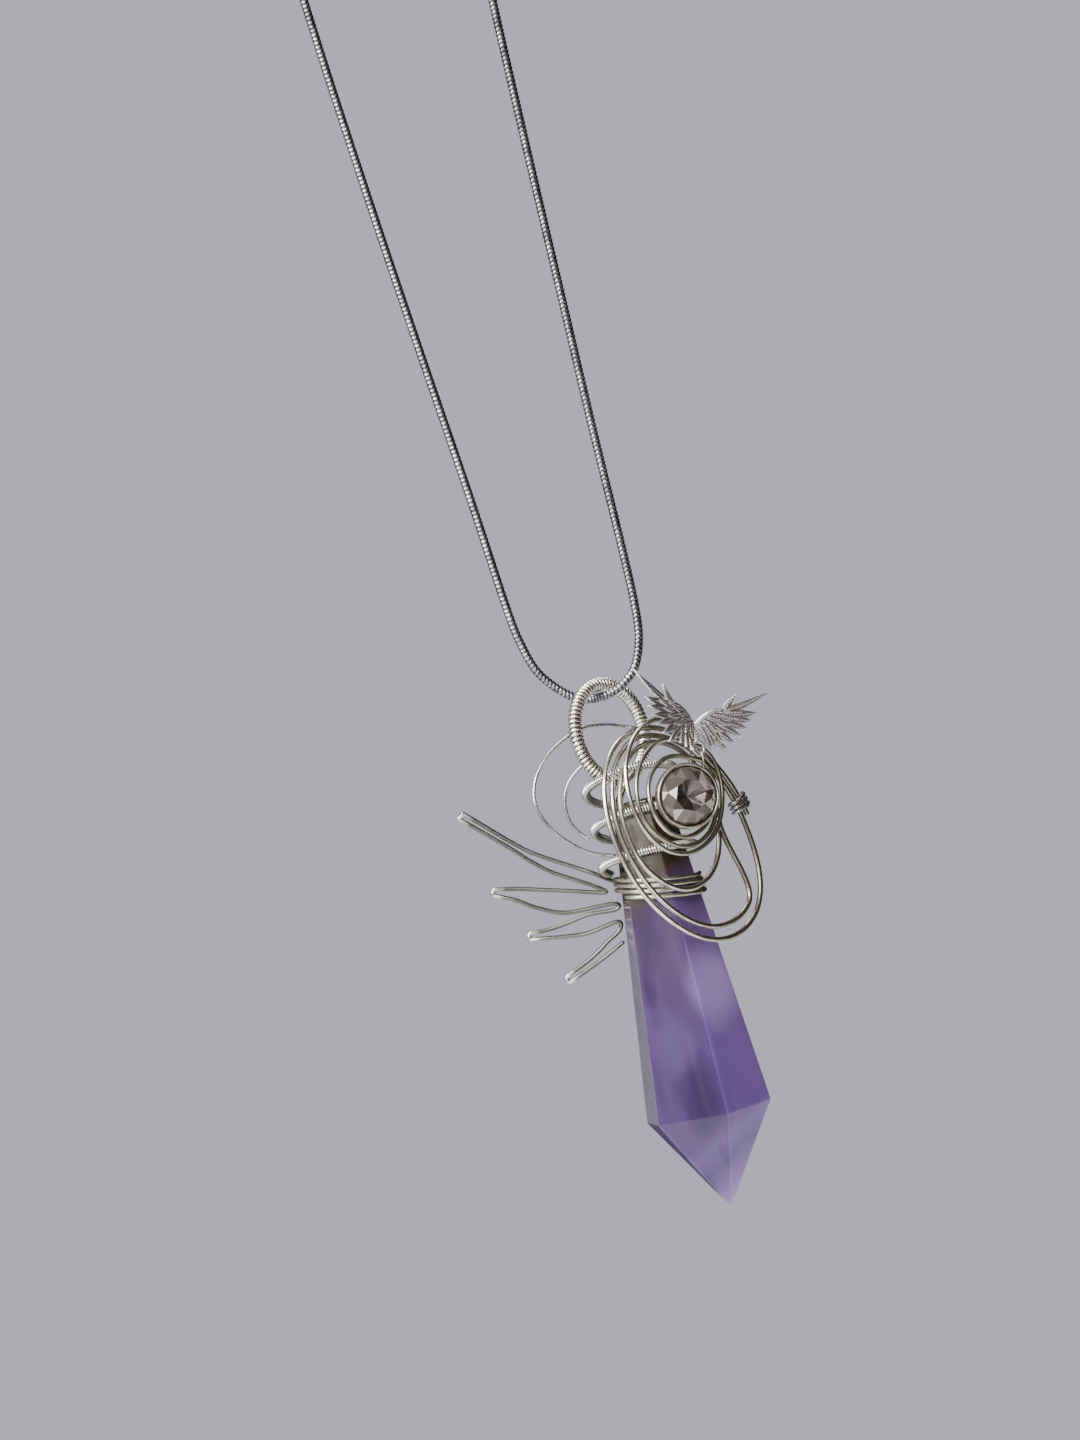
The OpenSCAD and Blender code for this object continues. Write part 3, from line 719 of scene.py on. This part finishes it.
def make_fan():
    slack = 0.03
    # The wire starts behind the crystal, and each hairpin comes back a little deeper than it went out
    path = [[1.0, 5.9, -25.2], [-2.6, 5.0, -24.5], [-5.2, 3.0, -23.3]]
    for h in HAIRPINS:
        for i, point in enumerate(h):
            for p in (bend(*h[TIP - 1:TIP + 2]) if i == TIP else [point]):
                path.append([p[0], FAN_Y + LEG_SPLIT * np.sign(TIP - i), p[1]])
    verts, faces = plain_wire(smooth(path, 2200), FAN_D - slack)
    # Painted light: the legs are painted darker and the tips carry a painted highlight
    tips = np.array([h[TIP] for h in HAIRPINS])
    off = np.linalg.norm(verts[:, None, [0, 2]] - tips[None], axis=2).min(1)
    shade = drawn(verts) * (0.16 + 0.84 * np.clip(1.6 - off, 0, 1))
    piece("fan_wire", low(verts), faces, [fan_silver], "pendant", ["feather_fan"], shade=shade)


# ---------- crystal ----------
def make_crystal():
    shoulder_h, worn_and_lit = CRYSTAL_LEN - 1.6, 0.16
    levels = [(GIRDLE_H, CRYSTAL_R), (shoulder_h, crystal_radius(shoulder_h)),
              (CRYSTAL_LEN, CRYSTAL_TOP_R * 0.66)]
    n = len(CRYSTAL_CORNERS)
    verts = [[0, 0, 0]] + [[r * math.cos(radians(a)), r * math.sin(radians(a)), h]
                           for h, r in levels for a in CRYSTAL_CORNERS]
    faces = [[0, 1 + (k + 1) % n, 1 + k] for k in range(n)]
    for i in range(2):
        for k in range(n):
            a, b = 1 + i * n + k, 1 + i * n + (k + 1) % n
            faces.append([a, b, b + n, a + n])
    faces.append([1 + 2 * n + k for k in range(n)])
    # Painted light: how much darker or lighter each face is painted for the light falling on it, tip faces
    # first; the narrow one at the left is clear
    painted_face_light = [0.8, 0.7, 0.5, 0.47, 1.1, 0.9] + [0.7, 0.6, 0.0, 0.42, 1.17, 0.8] + [0.5] * (n + 1)
    obj = piece("crystal_point", on_crystal(verts), faces, [crystal_mat], "pendant", ["crystal"],
                flat=True, shade=painted_face_light)
    bevel = obj.modifiers.new("worn_edges", "BEVEL")
    bevel.width, bevel.segments, bevel.limit_method = worn_and_lit * MM, 2, "NONE"


# ---------- stone and cup ----------
def at_stone(verts):
    return hung(turn(turn(verts, "X", 90), "Z", -STONE_TURN) + STONE_AT)


def make_stone():
    r, crown, pavilion, girdle = STONE_D / 2, 1.3, 1.6, 0.12
    table_r, mid_r, low_r = 0.56 * r, 0.80 * r, 0.27 * r

    def ring(radius, z, first, count):
        angles = [radians(first + 360 * k / count) for k in range(count)]
        return [[radius * math.cos(a), radius * math.sin(a), z] for a in angles]

    # The small facets' inner corners lie half way between the eight main directions
    between = 22.5
    slope = (crown - girdle) / (r - table_r)
    mid_z = crown - slope * (mid_r * math.cos(radians(between)) - table_r)
    low_z = -pavilion + low_r * math.cos(radians(between)) * (pavilion - girdle) / r
    verts = (ring(table_r, crown, 0, 8) + ring(mid_r, mid_z, between, 8) + ring(r, girdle, 0, 16)
             + ring(r, -girdle, 0, 16) + ring(low_r, low_z, between, 8) + [[0, 0, -pavilion]])
    # Where each ring's vertices start: table, middle of the crown, both rims of the girdle, pavilion, tip
    t, m, g, u, p, tip = 0, 8, 16, 32, 48, 56
    faces, mats, painted_face_light = [list(range(8))], [0], [1.0]
    # Painted flashes: how bright a reflection is painted on the facets in each of the eight sectors, below and
    # above the girdle
    lower_flashes = [[0.5, 0.1, 0.1, 0.2], [0.1, 0.3, 0.1, 0.1], [0.0, 0.1, 0.9, 0.1], [0.2, 0.1, 0.1, 0.0],
                   [0.1, 0.2, 0.0, 0.1], [0.0, 0.1, 0.2, 0.1], [0.3, 0.1, 0.0, 0.5], [0.1, 0.2, 0.1, 0.0]]
    crown_flashes = [[1.0, 0.9, 0.8, 0.1, 0.0], [0.1, 0.0, 0.05, 0.1, 0.0], [0.05, 0.2, 0.0, 0.0, 0.1],
                   [0.15, 0.0, 0.05, 0.0, 0.0], [0.0, 0.05, 0.5, 0.2, 0.0], [0.05, 0.0, 0.0, 0.1, 0.0],
                   [0.0, 0.1, 0.0, 0.0, 0.05], [0.05, 0.6, 0.0, 0.05, 0.1]]
    for k in range(8):
        j = (k + 1) % 8
        g0, g1, g2 = 2 * k, 2 * k + 1, (2 * k + 2) % 16
        crown_faces = [[t + k, m + k, t + j], [t + k, g + g0, m + k], [t + j, m + k, g + g2],
                       [m + k, g + g0, g + g1], [m + k, g + g1, g + g2]]
        band = [[g + g0, u + g0, u + g1, g + g1], [g + g1, u + g1, u + g2, g + g2]]
        lower = [[u + g0, p + k, u + g1], [u + g1, p + k, u + g2], [u + g0, tip, p + k], [u + g2, p + k, tip]]
        faces += crown_faces + band + lower
        mats += [1] * 5 + [0] * 2 + [1] * 4
        painted_face_light += crown_flashes[k] + [1.0] * 2 + lower_flashes[k]
    piece("cut_stone", at_stone(verts), faces, [glass_mat, foil_mat], "pendant", ["stone"],
          flat=True, face_mats=mats, shade=painted_face_light)


def lathe(outline, sides):
    """A turned body: outline is a list of radius and height."""
    a = around(sides)
    rows = [np.stack([q * np.cos(a), q * np.sin(a), 0 * a + z], 1) for q, z in outline]
    return np.vstack(rows), grid_faces(len(rows), sides, True)


def make_cup():
    r, seat = (STONE_D + 1.0) / 2, STONE_D / 2 + GAP / 2
    floor_z, wall = -1.8, 0.35
    under = floor_z - wall
    outline = [(0.3, under), (r - 0.95, under), (r - 0.7, under + 0.1), (r - 0.1, -0.85), (r, -0.6), (r, 0.2),
               (r - 0.06, 0.36), (r - 0.16, 0.44), (seat + 0.1, 0.45), (seat, 0.36), (seat, -0.5),
               (r - 1.2, floor_z), (0.3, floor_z)]
    verts, faces = lathe(outline, 96)
    piece("stone_bezel", at_stone(verts), faces, [cup_silver], "pendant", ["stone_cup"])


# ---------- wings ----------
def feather(length, width, thick, curl=0.0, barbs=2.3):
    """One cast feather along x: a leaf with a raised shaft and slanting barbs on both faces."""
    rows, cols = 34, 15
    t = np.linspace(0, 1, rows)[:, None]
    v = np.linspace(-1, 1, cols)[None, :]
    half = width / 2 * np.clip(np.sin(math.pi * t ** 0.62), 0.02, 1) ** 0.75 * (1 - 0.25 * t)
    x = t * length + 0 * v
    y = half * v + curl * length * t ** 2.2
    shaft = np.exp(-(v / 0.13) ** 2)
    barb = 0.5 + 0.5 * np.cos(2 * math.pi * barbs * (x - np.abs(half * v) * 1.3))
    edge = 1 - np.abs(v) ** 4
    fade = np.clip(1.1 - t, 0, 1)
    top = thick / 2 * (0.35 + 0.65 * edge) * (0.75 + 0.25 * fade) + 0.10 * shaft * fade - 0.07 * barb * edge
    # Painted light: dark in the barbs' grooves (oxide and painted shade), bright on the rims, the shaft and the
    # tip (polish and painted highlight)
    rim = np.clip((np.abs(v) - 0.72) / 0.28, 0, 1) + np.clip((t - 0.82) / 0.18, 0, 1)
    shade = np.clip(0.05 + 0.55 * (1 - barb) ** 2 * edge + 0.9 * shaft + 0.7 * rim, 0, 1)
    front = np.stack([x, y, top], -1).reshape(-1, 3)
    back = np.stack([x, y, -top], -1).reshape(-1, 3)
    count = rows * cols
    faces = []
    for i in range(rows - 1):
        for k in range(cols - 1):
            a = i * cols + k
            faces.append([a, a + cols, a + cols + 1, a + 1])
            faces.append([count + a, count + a + 1, count + a + cols + 1, count + a + cols])
    border = (list(range(cols)) + [i * cols + cols - 1 for i in range(1, rows)]
              + [(rows - 1) * cols + k for k in range(cols - 2, -1, -1)]
              + [i * cols for i in range(rows - 2, 0, -1)])
    for a, b in zip(border, border[1:] + border[:1]):
        faces.append([a, b, count + b, count + a])
    return np.vstack([front, back]), faces, np.concatenate([shade.ravel(), shade.ravel()])


def wing(root_spread):
    """Vertices, faces and painted light and shade of one wing: its root at the origin, its arm along x, its
    front +z.
    """
    parts, shades = [], []

    def put(made, degrees, at):
        verts, faces, shade = made
        parts.append((turn(verts, "Z", degrees) + at, faces))
        shades.append(shade)

    def row(count, made, first, fall, at):
        """A row of equal feathers from the wing's tip, where f is 0, to its root, where f is 1."""
        for f in (k / (count - 1) for k in range(count)):
            put(made, first - fall * f, at(f))

    put(feather(FEATHER_LEN - 0.1, 1.15, 0.62, 0.09), 1, (4.4, 0.85, 0))
    put(feather(FEATHER_LEN * 0.38, 0.9, 0.6), 32, (4.6, 1.0, 0.1))
    row(FEATHER_COUNT - 1, feather(FEATHER_LEN * 0.6, 1.5, 0.66, 0.04), -16, 48,
        lambda f: (4.8 - 3.4 * f, 0.5 - 0.4 * f, 0.1 * f))
    row(5, feather(FEATHER_LEN * 0.43, 1.25, 0.62, 0.03), -66, root_spread,
        lambda f: (2.4 - 1.5 * f, 0.3 - 0.25 * f, 0.12 + 0.24 * f))
    row(3, feather(FEATHER_LEN * 0.24, 0.95, 0.5), -60, root_spread,
        lambda f: (1.9 - 1.1 * f, 0.35 - 0.2 * f, 0.5))
    row(5, feather(FEATHER_LEN * 0.34, 1.15, 0.6), -13, 46,
        lambda f: (4.6 - 3.5 * f, 0.75 - 0.45 * f, 0.32))
    row(6, feather(FEATHER_LEN * 0.2, 0.85, 0.5), -4, 42,
        lambda f: (4.7 - 3.9 * f, 1.05 - 0.6 * f * f, 0.5))
    arm = smooth([[-0.2, -0.1, 0.05], [1.4, 0.65, 0.1], [3.2, 1.1, 0.1], [5.2, 0.95, 0.1],
                  [6.4, 1.05, 0.05]], 60)
    swell = 0.45 + 0.16 * np.sin(np.linspace(0, math.pi, 60)) - 0.16 * np.linspace(0, 1, 60) ** 3
    verts, faces = tube(arm, swell, 16)
    parts.append((verts, faces))
    shades.append(np.full(len(verts), 0.8))
    verts, faces = join(parts)
    return verts, faces, np.concatenate(shades)


def make_wings():
    sets, shades = [], []
    for (sweep, rise, spread), mirrored in ((RIGHT_WING, False), (LEFT_WING, True)):
        verts, faces, shade = wing(spread)
        v = turn(turn(turn(verts, "Z", rise), "X", 90), "Z", -sweep)
        if mirrored:
            v = v * [-1, 1, 1]
            faces = [face[::-1] for face in faces]
        sets.append((v, faces))
        shades.append(shade)
    body = smooth([[0, 0, 0.1], [0.03, -0.05, -0.8], [0.1, 0, -EYE_DROP]], 24)
    beads = np.cos(np.linspace(0, 10 * math.pi, 24))
    sets.append(tube(body, 0.60 - 0.16 * np.linspace(0, 1, 24) + 0.05 * beads, 20))
    # Painted light: the body's beads are bright on top and dark between them
    shades.append(np.repeat(0.35 + 0.55 * (0.5 + 0.5 * beads), 20))
    a = around(48)
    eye = np.stack([0.1 + EYE_R * np.cos(a), 0 * a, EYE_R * np.sin(a) - EYE_DROP - EYE_R - EYE_WIRE_R / 2], 1)
    v, f = tube(np.vstack([eye, eye[:2]]), EYE_WIRE_R - 0.01, 12, False)
    sets.append((v, f))
    shades.append(np.full(len(v), 0.75))
    verts, faces = join(sets)
    piece("cast_wings", hung(verts + np.array(CHARM_AT)), faces, [wing_silver], "pendant", ["wing_charm"],
          shade=np.concatenate(shades))


def make_jump_ring():
    r, d = 1.25, 0.26
    a = np.radians(np.linspace(20, 376, 90))
    ring = np.stack([0 * a, r * np.cos(a), r * np.sin(a)], 1)
    verts, faces = plain_wire(ring, d, 10)
    verts = turn(verts, "Y", 5) + [4.05, -INNER_DEPTH - 0.65, -11.05]
    piece("charm_jump_ring", hung(verts), faces, [fine_silver], "pendant", ["wing_ring"])


make_chain()
make_clasp()
make_bail()
make_neck_coil()
make_neck_wraps()
make_loops()
make_tie()
make_hoops()
make_fan()
make_crystal()
make_stone()
make_cup()
make_wings()
make_jump_ring()


# ---------- stage and light ----------
def make_stage():
    r, level, sides = 420, -460, 64
    verts = [[r * math.cos(a), r * math.sin(a), level] for a in around(sides)]
    mesh = bpy.data.meshes.new("floor")
    mesh.from_pydata((np.array(verts) * MM).tolist(), [], [list(range(sides))])
    floor = bpy.data.objects.new("floor", mesh)
    bpy.context.scene.collection.objects.link(floor)
    m = Nodes("floor_paper")
    paper = m.ramp(m.noise(40.0, 3), [(0.3, (0.70, 0.71, 0.73)), (0.7, (0.74, 0.75, 0.77))])
    m.link(paper, m.bsdf.inputs["Base Color"])
    m.set(Roughness=0.9)
    mesh.materials.append(m.mat)


def area(name, at, aim, size, power, color):
    """A square lamp that looks from one point at another, in metres."""
    data = bpy.data.lights.new(name, "AREA")
    data.shape, data.size, data.energy, data.color = "SQUARE", size, power, color
    lamp = bpy.data.objects.new(name, data)
    bpy.context.scene.collection.objects.link(lamp)
    direction = unit(np.array(at) - np.array(aim))
    side = unit(np.cross([0, 0.01, 1.0], direction))
    up = np.cross(direction, side)
    m = np.eye(4)
    m[:3, 0], m[:3, 1], m[:3, 2], m[:3, 3] = side, up, direction, at
    lamp.matrix_world = Matrix(m.tolist())


def make_light():
    aim = (-0.005, 0, -0.235)
    area("key", (-0.55, -0.45, 0.05), aim, 0.45, 12.0, (1.0, 0.98, 0.94))
    area("glint", (-0.5, -0.5, 0.2), aim, 0.12, 2.6, (1.0, 0.99, 0.97))
    area("front", (-0.15, -0.7, 0.1), aim, 0.3, 6.0, (1.0, 0.98, 0.95))
    area("top", (-0.1, 0.1, 0.35), aim, 0.3, 4.0, (0.97, 0.98, 1.0))
    world = bpy.data.worlds.new("studio")
    bpy.context.scene.world = world
    world.use_nodes = True
    tree = world.node_tree
    tree.nodes.clear()
    # The camera sees an even wall, and the metal mirrors a room that is pale in front, at the upper left
    out, mix, path, wall, room, coords, dot, ramp, blend = (
        tree.nodes.new("ShaderNode" + kind)
        for kind in ("OutputWorld", "MixShader", "LightPath", "Background", "Background", "TexCoord",
                     "VectorMath", "ValToRGB", "Math"))
    wall.inputs["Color"].default_value, wall.inputs["Strength"].default_value = (0.52, 0.53, 0.62, 1), 1.0
    room.inputs["Strength"].default_value = 0.66
    dot.operation, dot.inputs[1].default_value = "DOT_PRODUCT", (-0.34, -0.30, 0.18)
    ramp.color_ramp.elements.new(0.5)
    for e, (at, c) in zip(ramp.color_ramp.elements, ((0.08, (0.04, 0.037, 0.03)), (0.42, (0.21, 0.20, 0.17)),
                                                     (0.9, (1.0, 0.99, 0.96)))):
        e.position, e.color = at, (*c, 1)
    link = tree.links.new
    link(coords.outputs["Generated"], dot.inputs[0])
    blend.operation = "ADD"
    blend.inputs[1].default_value = 0.5
    link(dot.outputs["Value"], blend.inputs[0])
    link(blend.outputs[0], ramp.inputs[0])
    link(ramp.outputs[0], room.inputs["Color"])
    link(path.outputs["Is Camera Ray"], mix.inputs[0])
    link(room.outputs[0], mix.inputs[1])
    link(wall.outputs[0], mix.inputs[2])
    link(mix.outputs[0], out.inputs[0])


make_stage()
make_light()

bpy.context.view_layer.update()
